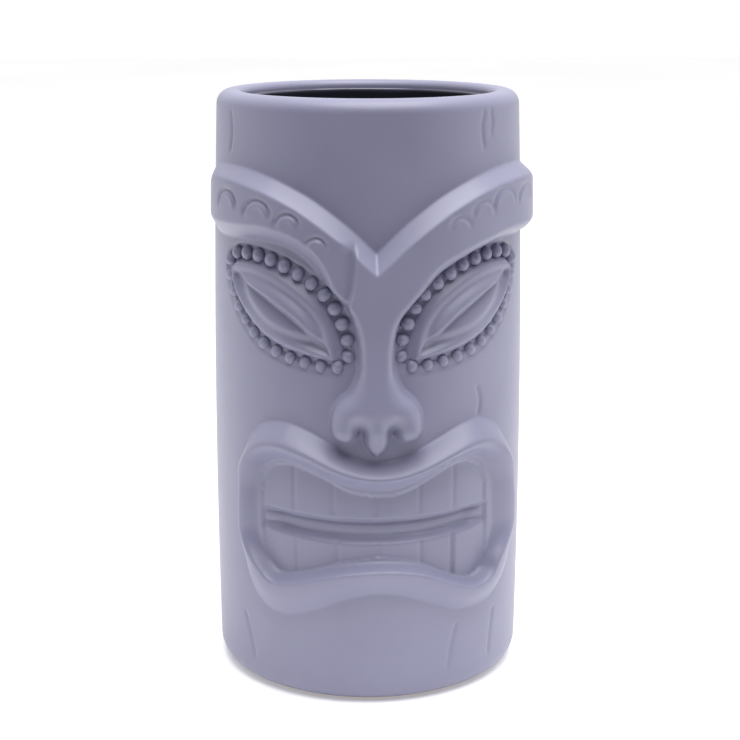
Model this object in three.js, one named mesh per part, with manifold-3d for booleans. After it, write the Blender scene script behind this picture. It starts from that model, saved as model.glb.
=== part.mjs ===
// A tiki mug: a turned ceramic cup with a carved face laid on its front wall.
// Millimetres, +Z up. The origin is the centre of the base, and the face looks along -Y.
//
// The face is drawn on the wall as if the wall were unrolled flat: u runs round the wall (arc length
// at the drawing radius, positive towards +X), z runs up it, and h is the height off the wall.

import * as THREE from "three";
import { mergeVertices } from "three/addons/utils/BufferGeometryUtils.js";
import Module from "manifold-3d";

const wasm = await Module();
wasm.setup();

// ---- The turned cup ----
const HEIGHT = 152;
const FOOT_RADIUS = 40.05;
const RIM_RADIUS = 38.55;
const BELLY = 1.08; // how far the wall swells at mid height
const WALL = 5;
const FLOOR = 6.5;
const FOOT_ROUND = 5.4;
const SHOULDER_ROUND = 3.5; // outer edge of the rim
const LIP_THICKNESS = 6.4; // the wall thickens towards the rim
const LIP_ROUND = 1.7; // inner edge of the rim
const LIP_START = 138; // where the wall begins to thicken
const INNER_CORNER = 7; // where the inner wall meets the floor
const LINING = 0.4; // thickness of the glaze poured inside
const LINING_TOP = 149.8;
const TURNS = 48; // facets round the cup

// ---- The relief ----
const DRAWING_RADIUS = 40;
const SEAT = 0.3; // gap under every laid-on piece
const HAIR = 0.15; // half of the gap between two pieces that meet
const EYE_DEPTH = 0.9;
const MOUTH_DEPTH = 2.5;
const THROUGH = 8; // how far a cutter stands clear of the surface

const EDGE = 0.6; // thickness that a piece keeps along its edges
const BROW_HEIGHT = 4.4;
const BROW_BEVEL = 3.5; // width of the sloping upper edge
const BROW_UNDERCUT = 3; // width of the rounded lower edge
const BROW_END = 0.72; // share of the brow's length before its outer end rounds off
const SCALLOP_WIDTH = 0.8;
const SCALLOP_DEPTH = 0.5;
const SCALLOP_STEPS = 5;
const NOTCH_HALF_WIDTH = 1.3;
const NOTCH_DEPTH = 1.9;
const UPPER_LIP_HEIGHT = 4.6;
const LOWER_LIP_HEIGHT = 3.4;
const BRIDGE_HEIGHT = 5;
const NOSE_HEIGHT = 6.4;
const NOSE_ROUND = 3; // width of the rounded edge of the nose
const RIDGE_WIDTH = 3.6;
const WING_HEIGHT = 4.8;
const WING_PLACE = 7.2; // from the middle of the nose
const WING_WIDTH = 3.4;
const LID_EDGE = 0.6;
const LID_HEIGHT = 1.7;
const LID_CROWN = 0.6; // share of the lid's width over which it rises
const BEADS = 24;
const BEAD_RADIUS = 1.7;
const BEAD_SINK = 0.25; // how far a bead's centre lies below the wall's surface
const BEAD_WAIST = 0.8; // half width of the string between two beads
const BEAD_STATIONS = 4; // steps along each bead
const TEETH = 6;
const TOOTH_GAP = 0.35; // half of the groove between two teeth
const TOOTH_FACE = -0.4;
const TOOTH_BEVEL = 1.2;
const TOOTH_BEVEL_DROP = 0.8;
const BITE_REACH = 30; // distance from the middle at which a bite line has risen by its curl

// ---- Outlines; a pair of them is drawn for the right side and mirrored for the left ----
const BROW_TOP = [
  [HAIR, 115.7], [3, 118.5], [6, 121.3], [9.4, 124], [13, 126.6], [17.5, 129.2], [22, 131.1], [28.5, 133.2],
  [38, 134.8], [48.5, 134.9], [61.5, 132],
];
const RIGHT_BROW_LOW = [
  [HAIR, 101.5], [3.2, 101.5], [5.9, 101.7], [8.3, 104.3], [11.6, 107.7], [15.7, 111.3], [21.5, 114.3],
  [28.3, 116.4], [37.5, 117.5], [48, 117.5], [61.5, 120.3],
];
const LEFT_BROW_LOW = [
  [HAIR, 101.5], [3.2, 101.5], [5.9, 101.7], [8.3, 104.8], [11.3, 107.9], [14.4, 111.6], [19, 115.2],
  [27.7, 117.7], [37.5, 117.6], [48, 117.3], [61.5, 120.3],
];
const RIGHT_SCALLOPS = [ // u, z, radius
  [19.4, 121.6, 2.3], [26, 124.2, 3], [33.2, 125.9, 3.8], [43.2, 125.6, 4],
];
const LEFT_SCALLOPS = [[13.6, 117.5, 2.1], [20.5, 122.2, 2.7], [28.8, 124, 3.6], [39.6, 125.4, 3.6]];
const NOTCH = [[-6.2, 119.5], [-6.1, 113.6], [-6.8, 107], [-7.2, 102]];
const BRIDGE_SIDE = [[5.6, 101], [4.9, 96], [4.4, 91], [4.4, 87], [5.6, 83.8]];
const NOSE_TOP = [[0, 83.4], [3.4, 83.4], [6.2, 82.8], [8.4, 80.9], [10.3, 78], [11.1, 75.2]];
const NOSE_LOW = [[0, 66.4], [2, 68.4], [3.6, 72], [5.8, 70.1], [8.3, 70.1], [11.1, 73.6]];
const SOCKET_TOP = [
  [4.2, 92], [5.2, 98], [9, 105.4], [15.4, 111], [24, 114.6], [34, 116], [41.5, 114.8], [45.4, 110],
];
const SOCKET_LOW = [
  [4.2, 87.5], [9.5, 85.8], [17.5, 86.5], [24.5, 88], [31.5, 91], [38, 96], [43, 102], [45.4, 106.5],
];
const BEAD_PATH = [
  [6.5, 91], [7, 95.4], [8.9, 100.4], [12, 104.8], [16.8, 108.6], [22.6, 111.5], [28.6, 113.1], [34, 113.5],
  [39, 113.1], [42, 111.4], [42.9, 108.6], [41.8, 104.6], [39, 100.3], [34.6, 96], [29.3, 92.4], [23.3, 90.2],
  [17, 88.8], [10.8, 88.1], [7.6, 88.7],
];
const LID_TOP = [
  [9.6, 91.6], [10.8, 97.4], [14.6, 103.2], [20.6, 107.4], [27, 109.9], [33.8, 111.1], [39.6, 109],
];
const LID_SLIT = [[10.4, 91], [14, 94.6], [19, 98.6], [24.6, 102], [30.4, 105], [35, 106.9], [39.6, 108.4]];
const LID_LOW = [
  [10.6, 90.2], [16.2, 91.2], [22.5, 92.7], [28.4, 95.1], [33.4, 98.6], [37.4, 102.6], [39.8, 107.6],
];

// The mouth is wider on its right, so each line of it is drawn whole, from left to right.
const UPPER_LIP_OUT = [
  [-38.5, 50], [-37.6, 60], [-35, 66.8], [-31.5, 70.8], [-27.5, 72.7], [-21.9, 73], [-16.4, 71.3],
  [-11.3, 68.7], [-6.4, 65.9], [-1.6, 64.3], [2.1, 64.2], [5.8, 65], [10.8, 67.1], [16.1, 69.6],
  [22, 72.1], [27.9, 72.9], [33.5, 70.7], [38.5, 65.6], [42.2, 58.5], [43.8, 50],
];
const UPPER_LIP_IN = [
  [-31, 50], [-30.6, 56], [-28.9, 59.8], [-26.4, 61.6], [-22, 62.3], [-16.5, 61.1], [-11.4, 59], [-6.4, 56.7],
  [0.9, 55.5], [5.8, 56.1], [10.9, 58], [16.2, 60.6], [22.1, 62.4], [26, 61.8], [29, 59.6],
  [30.8, 55.5], [31.2, 50],
];
const LOWER_LIP_OUT = [
  [-38.5, 50], [-38.6, 43], [-37.6, 35.5], [-35.2, 28.8], [-31, 24.2], [-25.6, 22.5], [-19.6, 23.4],
  [-14.2, 25.5], [-9, 27.9], [-4, 29.5], [0.9, 30], [5.9, 29.4], [11.1, 27.6], [16.7, 25.1], [22.8, 23.2],
  [29.9, 23], [34.6, 24.4], [38.8, 27.4], [42.4, 33], [44, 41], [43.8, 50],
];
const LOWER_LIP_IN = [
  [-31, 50], [-30.7, 43], [-29.8, 38.6], [-27.8, 35.4], [-24.7, 33.6], [-19.5, 34.4], [-14.1, 36.2], [-9, 38],
  [-4, 39], [0.9, 39.5], [5.9, 39], [11, 37.4], [16.5, 34.5], [22, 31.9], [25.9, 31.2], [29.3, 33],
  [31, 36.9], [31.5, 42.4], [31.2, 50],
];
const UPPER_ROW = { grooves: [-29.2, -21.2, -10.8, 0.1, 11, 20.6, 28.8], bite: 48.4, curl: 0.9, upper: true };
const LOWER_ROW = {
  grooves: [-27.8, -20.5, -9.7, 0.6, 11.3, 20.4, 29.4],
  bite: 44.2, curl: 1.6, upper: false,
};

// Wood-grain grooves in the wall: the drawn points run downwards.
const GRAIN_HALF_WIDTH = 0.5;
const GRAIN_DEPTH = 0.5;
const GRAIN = [
  [[30.5, 148], [29.6, 144.5], [30.2, 140]], [[33.2, 148], [33.8, 145.5], [33.1, 143]],
  [[-44, 147.5], [-43.2, 143], [-44, 138.5]], [[27.6, 80.5], [28.6, 77], [28, 74]],
  [[-38.2, 19], [-36, 13], [-34.6, 8]], [[21.6, 19], [20.2, 14], [19.3, 8]],
  [[35.3, 19.5], [34.5, 14.5], [33.9, 8]], [[72, 138], [73.4, 118], [72.4, 98]],
  [[-70, 92], [-71.5, 72], [-70.2, 55]], [[96, 86], [94.6, 62], [96.2, 40]],
  [[-92, 140], [-90.8, 124], [-92.4, 108]], [[118, 128], [119.4, 104], [118, 82]],
  [[-114, 66], [-112.6, 42], [-114, 22]],
];

// ---- Finishes ----
const GREY_GLAZE = 0x8f90a6;
const LINING_GLAZE = 0x7d7f95;
const SATIN = 0.5;
const GLOSSY = 0.25;

// The relief lines as curves in the drawing plane.
const line = (points) => new THREE.SplineCurve(points.map(([u, z]) => new THREE.Vector2(u, z)));
const mirrored = (points) => points.map(([u, z]) => [-u, z]).reverse();
const onSide = (points, side) => (side > 0 ? points : mirrored(points));
const shifted = (points, du, dz) => points.map(([u, z]) => [u + du, z + dz]);

// A quarter-round rise from 0 at an edge to 1 at `width` from it.
function roundOver(distance, width) {
  const t = Math.min(1, Math.max(0, distance / width));
  return Math.sqrt(1 - (1 - t) ** 2);
}

// The outer radius of the wall at a height, before its edges are rounded.
function wallRadius(z) {
  const q = z / HEIGHT;
  return FOOT_RADIUS * (1 - q) + RIM_RADIUS * q + BELLY * 4 * q * (1 - q);
}

// The place in space of a point drawn on the unrolled wall.
function onWall(u, z, h) {
  const angle = u / DRAWING_RADIUS;
  const radius = wallRadius(z) + h;
  return new THREE.Vector3(radius * Math.sin(angle), -radius * Math.cos(angle), z);
}

// A closed mesh as a solid that can be joined and cut.
function solid(geometry) {
  geometry.deleteAttribute("normal");
  geometry.deleteAttribute("uv");
  const merged = mergeVertices(geometry, 1e-4);
  const mesh = new wasm.Mesh({
    numProp: 3,
    vertProperties: new Float32Array(merged.attributes.position.array),
    triVerts: new Uint32Array(merged.index.array),
  });
  return new wasm.Manifold(mesh);
}

// A joined or cut solid as a mesh again.
function surface(body) {
  const mesh = body.getMesh();
  const geometry = new THREE.BufferGeometry();
  geometry.setAttribute("position", new THREE.BufferAttribute(mesh.vertProperties, 3));
  geometry.setIndex(new THREE.BufferAttribute(mesh.triVerts, 1));
  geometry.computeVertexNormals();
  return geometry;
}

// A solid between two lines of the drawing, from `seat` up to height(s, a, b): s runs along the
// lines from 0 to 1, and a and b are the distances from the first line and from the second.
function strip(firstPoints, secondPoints, { seat = SEAT, height, stations, across }) {
  const first = line(firstPoints);
  const second = line(secondPoints);
  const geometry = new THREE.BoxGeometry(1, 1, 1, stations, across, 1);
  const position = geometry.attributes.position;
  for (let i = 0; i < position.count; i += 1) {
    const s = position.getX(i) + 0.5;
    const v = position.getY(i) + 0.5;
    const from = first.getPoint(s);
    const to = second.getPoint(s);
    const width = from.distanceTo(to);
    const point = from.lerp(to, v);
    const h = position.getZ(i) > 0 ? height(s, width * v, width * (1 - v)) : seat;
    const placed = onWall(point.x, point.y, h);
    position.setXYZ(i, placed.x, placed.y, placed.z);
  }
  return solid(geometry);
}

// A strip that cuts everything above a depth.
function cutter(firstPoints, secondPoints, seat, stations) {
  return strip(firstPoints, secondPoints, { seat, height: () => THROUGH, stations, across: 1 });
}

// Part of a circle, as profile points, with its angles in degrees.
function arc(x, y, radius, from, to, steps) {
  const points = [];
  for (let i = 0; i <= steps; i += 1) {
    const angle = THREE.MathUtils.degToRad(from + ((to - from) * i) / steps);
    points.push(new THREE.Vector2(x + radius * Math.cos(angle), y + radius * Math.sin(angle)));
  }
  return points;
}

// The line of the cup's inside from the floor's middle up the wall and into the lip, pulled in by `coat`.
function insideLine(coat) {
  const innerRadius = (z) => wallRadius(z) - WALL;
  const centreX = innerRadius(FLOOR + INNER_CORNER) - INNER_CORNER;
  const points = [new THREE.Vector2(0, FLOOR + coat)];
  points.push(...arc(centreX, FLOOR + INNER_CORNER, INNER_CORNER - coat, -90, 0, 3));
  points.push(new THREE.Vector2(innerRadius(HEIGHT / 2) - coat, HEIGHT / 2));
  points.push(new THREE.Vector2(innerRadius(LIP_START) - coat, LIP_START));
  return points;
}

// A profile turned about the cup's axis.
function turned(profile) {
  return solid(new THREE.LatheGeometry(profile, TURNS).rotateX(Math.PI / 2));
}

// The bare cup: from the base's middle, out, up the wall, over the rim and down the inside.
function cup() {
  const profile = [new THREE.Vector2(0, 0)];
  profile.push(...arc(FOOT_RADIUS - FOOT_ROUND, FOOT_ROUND, FOOT_ROUND, -90, 0, 4));
  for (const share of [0.2, 0.4, 0.6, 0.8]) {
    profile.push(new THREE.Vector2(wallRadius(HEIGHT * share), HEIGHT * share));
  }
  profile.push(...arc(RIM_RADIUS - SHOULDER_ROUND, HEIGHT - SHOULDER_ROUND, SHOULDER_ROUND, 0, 90, 3));
  profile.push(...arc(RIM_RADIUS - LIP_THICKNESS + LIP_ROUND, HEIGHT - LIP_ROUND, LIP_ROUND, 90, 180, 2));
  profile.push(...insideLine(0).reverse());
  return turned(profile);
}

// The cup with the mouth and the eye sockets sunk into its wall and the wood grain cut round it.
function mugBody() {
  const cutters = [cutter(LOWER_LIP_IN, UPPER_LIP_IN, -MOUTH_DEPTH, 24)];
  for (const side of [-1, 1]) {
    cutters.push(cutter(onSide(SOCKET_LOW, side), onSide(SOCKET_TOP, side), -EYE_DEPTH, 18));
  }
  for (const groove of GRAIN) {
    const left = shifted(groove, -GRAIN_HALF_WIDTH, 0);
    const right = shifted(groove, GRAIN_HALF_WIDTH, 0);
    cutters.push(cutter(left, right, -GRAIN_DEPTH, 4));
  }
  return cutters.reduce((body, cut) => body.subtract(cut), cup());
}

// The coat of glaze inside the cup: a thin skin over the floor and up the wall.
function glazeLining() {
  const top = (coat) => new THREE.Vector2(RIM_RADIUS - LIP_THICKNESS - coat, LINING_TOP);
  const outer = [...insideLine(SEAT), top(SEAT)];
  const inner = [...insideLine(SEAT + LINING), top(SEAT + LINING)];
  return turned([...outer, ...inner.reverse()]);
}

// A brow: a bevel along its upper edge, a broad face, a rounded lower edge and an outer end that
// rounds off, with a row of scallops cut in its face. The left one also has a notch by the middle.
function brow(side) {
  const height = (s, fromLow, fromTop) => {
    const out = side > 0 ? s : 1 - s;
    const bevel = Math.min(1, fromTop / BROW_BEVEL);
    const end = roundOver(1 - out, 1 - BROW_END);
    return EDGE + (BROW_HEIGHT - EDGE) * bevel * roundOver(fromLow, BROW_UNDERCUT) * end;
  };
  const low = side > 0 ? RIGHT_BROW_LOW : LEFT_BROW_LOW;
  const bar = strip(onSide(low, side), onSide(BROW_TOP, side), { height, stations: 22, across: 8 });
  const cuts = (side > 0 ? RIGHT_SCALLOPS : LEFT_SCALLOPS).map(([u, z, radius]) => {
    const arch = (r) => arc(side * u, z, r, 180, 0, SCALLOP_STEPS).map((point) => [point.x, point.y]);
    const inner = arch(radius - SCALLOP_WIDTH / 2);
    const outer = arch(radius + SCALLOP_WIDTH / 2);
    return cutter(inner, outer, BROW_HEIGHT - SCALLOP_DEPTH, SCALLOP_STEPS);
  });
  if (side < 0) {
    const left = shifted(NOTCH, -NOTCH_HALF_WIDTH, 0);
    const right = shifted(NOTCH, NOTCH_HALF_WIDTH, 0);
    cuts.push(cutter(left, right, BROW_HEIGHT - NOTCH_DEPTH, 4));
  }
  return cuts.reduce((body, cut) => body.subtract(cut), bar);
}

// The bridge of the nose, drawn downwards from the brows.
function noseBridge() {
  const height = (s, a, b) => EDGE + (BRIDGE_HEIGHT - EDGE) * roundOver(Math.min(a, b), (a + b) / 2);
  const left = BRIDGE_SIDE.map(([u, z]) => [-u, z]);
  return strip(left, BRIDGE_SIDE, { height, stations: 8, across: 6 });
}

// The nostril wings with the pointed tip between them.
function nose() {
  const halfWidth = NOSE_TOP[NOSE_TOP.length - 1][0];
  const height = (s, fromLow, fromTop) => {
    const u = halfWidth * (2 * s - 1);
    const underBridge = Math.max(0, 1 - Math.abs(u) / NOSE_HEIGHT);
    const ridge = NOSE_HEIGHT * Math.exp(-((u / RIDGE_WIDTH) ** 2));
    const wings = WING_HEIGHT * Math.exp(-(((Math.abs(u) - WING_PLACE) / WING_WIDTH) ** 2));
    const nearest = Math.min(fromLow, fromTop + NOSE_ROUND * underBridge);
    const edge = roundOver(nearest, NOSE_ROUND);
    return EDGE + (Math.max(ridge, wings) - EDGE) * edge;
  };
  const low = [...mirrored(NOSE_LOW).slice(0, -1), ...NOSE_LOW];
  const top = [...mirrored(NOSE_TOP).slice(0, -1), ...NOSE_TOP];
  return strip(low, top, { height, stations: 20, across: 6 });
}

// A lid: a low plate with a raised band beside the slit.
function lid(edgePoints, slitPoints, above, side) {
  const edge = onSide(edgePoints, side);
  const slit = onSide(shifted(slitPoints, 0, above ? HAIR : -HAIR), side);
  const height = (s, a, b) => {
    const fromEdge = above ? b : a;
    return LID_EDGE + (LID_HEIGHT - LID_EDGE) * roundOver(fromEdge, (a + b) * LID_CROWN);
  };
  const size = { seat: SEAT - EYE_DEPTH, height, stations: 11, across: 4 };
  return above ? strip(slit, edge, size) : strip(edge, slit, size);
}

// The beads round an eye: one closed string whose width and height swell at every bead.
function beadString(side) {
  const path = new THREE.CatmullRomCurve3(BEAD_PATH.map(([u, z]) => new THREE.Vector3(side * u, z, 0)), true);
  const pitch = path.getLength() / BEADS;
  const stations = BEADS * BEAD_STATIONS;
  const back = SEAT - EYE_DEPTH;
  // Each corner of the section: its share of the half width to the left, and its height.
  const section = (half) => [[-1, -BEAD_SINK], [0, half - BEAD_SINK], [1, -BEAD_SINK], [1, back], [-1, back]];
  const ring = new THREE.TorusGeometry(1, 0.5, section(1).length, stations);
  const position = ring.attributes.position;
  for (let k = 0; k < position.count; k += 1) {
    const i = (k % (stations + 1)) % stations;
    const j = Math.floor(k / (stations + 1)) % section(1).length;
    const offset = pitch * Math.abs(i / BEAD_STATIONS - Math.round(i / BEAD_STATIONS));
    const half = Math.sqrt(Math.max(BEAD_WAIST ** 2, BEAD_RADIUS ** 2 - offset ** 2));
    const [left, h] = section(half)[j];
    const point = path.getPointAt(i / stations);
    const along = path.getTangentAt(i / stations);
    const placed = onWall(point.x - along.y * left * half, point.y + along.x * left * half, h);
    position.setXYZ(k, placed.x, placed.y, placed.z);
  }
  return solid(ring);
}

// Half of the lips, with a full round section.
function lip(low, top, crest, lift) {
  const height = (s, a, b) => EDGE + (crest - EDGE) * roundOver(Math.min(a, b), (a + b) / 2);
  return strip(shifted(low, 0, lift), shifted(top, 0, lift), { height, stations: 24, across: 5 });
}

// The height of a drawn line at u, for a line that runs from left to right.
function levelAt(points, u) {
  const curve = line(points);
  let low = 0;
  let high = 1;
  for (let i = 0; i < 30; i += 1) {
    const middle = (low + high) / 2;
    if (curve.getPoint(middle).x < u) {
      low = middle;
    } else {
      high = middle;
    }
  }
  return curve.getPoint(low).y;
}

// A tooth between two grooves, from the bite line to the lip, with bevelled edges.
function tooth({ grooves, bite, curl, upper }, index, lipPoints) {
  const left = grooves[index] + TOOTH_GAP;
  const right = grooves[index + 1] - TOOTH_GAP;
  const stops = [left, (left + right) / 2, right];
  const clearance = upper ? -2 * SEAT : 2 * SEAT;
  const biteLine = stops.map((u) => [u, bite + curl * (u / BITE_REACH) ** 2]);
  const gumLine = stops.map((u) => [u, levelAt(lipPoints, u) + clearance]);
  const height = (s, a, b) => {
    const fromSide = Math.min(s, 1 - s) * (right - left);
    const edge = Math.min(1, fromSide / TOOTH_BEVEL, (upper ? a : b) / TOOTH_BEVEL);
    return TOOTH_FACE - TOOTH_BEVEL_DROP * (1 - edge);
  };
  const size = { seat: SEAT - MOUTH_DEPTH, height, stations: 5, across: 5 };
  return upper ? strip(biteLine, gumLine, size) : strip(gumLine, biteLine, size);
}

const mug = new THREE.Group();

// Adds one named piece to the mug.
function place(name, body, colour, roughness) {
  const material = new THREE.MeshStandardMaterial({ color: colour, roughness, metalness: 0 });
  const mesh = new THREE.Mesh(surface(body), material);
  mesh.name = name;
  mug.add(mesh);
}

place("mug_body", mugBody(), GREY_GLAZE, SATIN);
place("glaze_lining", glazeLining(), LINING_GLAZE, GLOSSY);
place("nose_bridge", noseBridge(), GREY_GLAZE, SATIN);
place("nose", nose(), GREY_GLAZE, SATIN);
place("upper_lip", lip(UPPER_LIP_IN, UPPER_LIP_OUT, UPPER_LIP_HEIGHT, HAIR), GREY_GLAZE, SATIN);
place("lower_lip", lip(LOWER_LIP_OUT, LOWER_LIP_IN, LOWER_LIP_HEIGHT, -HAIR), GREY_GLAZE, SATIN);
for (const [name, side] of [["left", -1], ["right", 1]]) {
  place(`${name}_brow`, brow(side), GREY_GLAZE, SATIN);
  place(`${name}_eye_beads`, beadString(side), GREY_GLAZE, SATIN);
  place(`${name}_upper_lid`, lid(LID_TOP, LID_SLIT, true, side), GREY_GLAZE, SATIN);
  place(`${name}_lower_lid`, lid(LID_LOW, LID_SLIT, false, side), GREY_GLAZE, SATIN);
}
for (let i = 0; i < TEETH; i += 1) {
  place(`upper_tooth_${i + 1}`, tooth(UPPER_ROW, i, UPPER_LIP_IN), GREY_GLAZE, SATIN);
  place(`lower_tooth_${i + 1}`, tooth(LOWER_ROW, i, LOWER_LIP_IN), GREY_GLAZE, SATIN);
}

export default mug;
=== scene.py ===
import math

import bpy
import numpy as np
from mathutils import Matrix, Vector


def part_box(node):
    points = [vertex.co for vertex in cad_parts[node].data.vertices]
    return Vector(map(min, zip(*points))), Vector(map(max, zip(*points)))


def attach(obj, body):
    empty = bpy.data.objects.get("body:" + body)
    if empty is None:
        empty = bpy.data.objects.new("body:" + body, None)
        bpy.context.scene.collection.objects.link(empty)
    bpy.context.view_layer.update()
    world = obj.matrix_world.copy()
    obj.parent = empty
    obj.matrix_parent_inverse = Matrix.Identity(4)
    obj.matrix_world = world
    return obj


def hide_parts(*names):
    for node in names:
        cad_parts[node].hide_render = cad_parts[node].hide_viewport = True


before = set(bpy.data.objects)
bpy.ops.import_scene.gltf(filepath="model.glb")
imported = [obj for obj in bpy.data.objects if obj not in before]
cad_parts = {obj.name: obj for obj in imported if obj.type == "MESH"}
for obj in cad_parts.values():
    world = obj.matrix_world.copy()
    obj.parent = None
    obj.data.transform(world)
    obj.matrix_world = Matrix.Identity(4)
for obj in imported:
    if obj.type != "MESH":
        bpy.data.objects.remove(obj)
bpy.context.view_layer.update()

# A glazed ceramic tiki mug. The face is worked out as one relief: a height over the unrolled front
# wall, where u runs round the wall (millimetres at the drawing radius, positive towards +X) and z
# runs up it. Every carved feature is its own closed piece of that relief, so that neighbours meet
# exactly. Lengths are in millimetres, and MM turns them into metres, except where a line says metres.

MM = 0.001

# ---- Sizes of the turned cup ----
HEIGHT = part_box("mug_body")[1].z / MM
FOOT_RADIUS = 40.05
RIM_RADIUS = 38.55
BELLY = 1.08
WALL = 5.0
FLOOR = 6.5
FOOT_ROUND = 5.6
SHOULDER_ROUND = 3.5
LIP_THICKNESS = 6.4
LIP_ROUND = 1.7
LIP_END = 138.0
WALL_MIDDLE = 76.0
INNER_CORNER = 7.0
DRAWING_RADIUS = 40.0
ROUND_STEPS = 9
LIP_STEPS = 6
LINING = 0.4
LINING_TOP = 149.8
LINING_SEAT = 0.3
LINING_FEATHER = 0.3
LINING_START = 20
LINING_TOP_SHARES = (0.3, 0.6, 0.85, 0.94, 0.98, 1.0)
SWEEP_RADIUS = 0.01  # metres

# ---- The grid of the relief, and how deep a feature's back and its seat lie under the wall ----
CELL = 0.4
PLAIN_CELL = 0.9
BACK_CELL = 2.6
GROOVE_BAND = 2.6
FACE_HALF = 64.0
FACE_LOW = 17.0
FACE_HIGH = 139.0
BRUSH = 0.6
BACKING = 1.2
SEAT_GAP = 0.05

# ---- Brow, bridge and nose: crown height and flank width by z, bevel width by x ----
CROWN_AT = [66, 69, 73, 78, 84, 92, 100, 108, 116]
CROWN = [2.6, 4.3, 6.0, 6.3, 5.6, 5.0, 4.7, 4.4, 4.2]
FLANK_AT = [67, 70.5, 72, 76, 82, 88, 98, 104, 110]
FLANK = [1.4, 1.5, 2.4, 5.4, 4.4, 2.6, 2.6, 2.4, 3.0]
BEVEL_AT = [0, 6, 14, 25]
BEVEL = [3.3, 3.2, 3.2, 3.0]
BROW_ENDS = {-1: (24.0, 57.5), 1: (42.0, 61.5)}
BROW_STRAIGHT = {-1: 0.85, 1: 0.35}
BROW_STRAIGHT_FROM = (9, 15)
LEFT_FLANK_WIDENS = (8, 15)
LEFT_CORNER_X = (7.5, 11)
LEFT_CORNER_Z = (100, 104)
CREST_SOFT = 0.25
CREST_SOFTER = 1.4
CREST_SOFTENS = (42, 56)
BROW_END = 103.4
BRIDGE_END = 84.4
NOSE_START = 84
NOSE_ARCH = 0.35
NOSE_ARCH_HALF = 7
NOSTRIL = (3.6, 73.0)
NOSTRIL_SIZE = (1.3, 1.8)
NOSTRIL_DEPTH = 1.3
NOSTRIL_FADE = (0.3, 2)
WING_LINE_FADE = (73, 80)
SCALLOP_FADE = (-1.0, 1.4)
SCALLOP_FACE = (2, 3)
RIGHT_SCALLOP_SHARE = 0.5
NOTCH_DEPTH = 1.9
NOTCH_WIDTH = 4.4
NOTCH_CLIFF = (-0.5, 0.4)
NOTCH_FADE = (0.5, 2.5)
NOTCH_LOW_END = (102.2, 103.4)
NOTCH_HIGH_END = (115.5, 119.5)

# Grooves and rims: the place of the middle, the depth, and the half width
WING_LINE = (4.3, 0.7, 1.5)
SCALLOP_GROOVE = (0.25, 0.75, 0.5)
SCALLOP_RIM = (-0.75, 0.3, 0.6)
LID_GROOVE = (2.4, 0.35, 0.8)

# ---- Eyes ----
EYE_SHIFT = {-1: -0.7, 1: 0.0}
EYE_SLOPE = 0.35
CHANNEL_DEPTH = 0.8
CHANNEL_EDGE = (1.3, 2.4)
CHANNEL_LOW = (92, 98)
CHANNEL_LOW_START = 8
CHANNEL_LOW_LOSS = 0.75
CHANNEL_UNDER_BROW = (0.2, 1.2)
LID_HEIGHT = 1.3
LID_EDGE = (-1.0, 0.8)
LID_GROOVE_FADE = (-1, 3)
LID_MARGIN = 1.2
LENS_HEIGHT = 1.2
LENS_EDGE = (2.4, 5.0)
SLIT_DEPTH = 2.0
SLIT_ABOVE = 1.4
SLIT_BELOW = 5.6
SLIT_CURVE = 1.15
SLIT_FADE = (0.6, 2.4)
BEADS = 24
BEAD_RADIUS = 1.62
BEAD_SHAPE = (0.94, 1.1, 1.0)
BEAD_VARIATION = 0.06
BEAD_SINK = 0.25
BEAD_SINK_LOW = 0.85
BEAD_LOW = (90, 96)

# ---- Mouth ----
MOUTH_MIDDLE = 50
MOUTH_HALF = 30.0
UPPER_LIP_FROM = (54, 64)
LOWER_LIP_FROM = (34, 44)
LIP_HEIGHT = 5.0
LIP_HEIGHT_SIDE = 2.7
LOWER_LIP_HEIGHT = 3.8
LIP_CREST = 0.24
UPPER_CREST_MORE = 0.20
LOWER_CREST_MORE = 0.60
UPPER_LIP_CURVE = 1.25
LIP_FALL = 1.1
LIP_INSIDE_DROP = 0.5
MOUTH_FLOOR = -2.5
MOUTH_CORNER = (25, 31)
MOUTH_CORNER_RISE = 0.8
TOOTH_FACE = -0.5
TOOTH_OUTSIDE = 0.6
UPPER_BITE = 48.4
UPPER_BITE_CURL = 0.9
UPPER_EDGE = 0.9
UPPER_SIDE = 0.9
LOWER_BITE = 44.2
LOWER_BITE_CURL = 1.6
LOWER_EDGE = 1.3
LOWER_SIDE = 1.2
BITE_LINE_INSET = 0.3
BITE_LINE_DEPTH = 0.4
BITE_LINE_ENDS = (29.5, 31)
TOOTH_LINE_HALF = 0.45
ROWS_PART = 47
UPPER_LINES_FROM = (49.5, 51.5)
LOWER_LINES_FROM = (43.0, 44.5)
UPPER_GROOVES = [-32.5, -21.2, -10.8, 0.1, 11, 20.6, 32.5]
UPPER_LINE_DEPTHS = [0.3, 0.3, 0.3, 0.3, 0.3]
LOWER_GROOVES = [-32.5, -20.5, -9.7, 0.6, 11.3, 20.4, 32.5]
LOWER_LINE_DEPTHS = [0.35, 0.35, 0.35, 0.35, 0.9]

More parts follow.
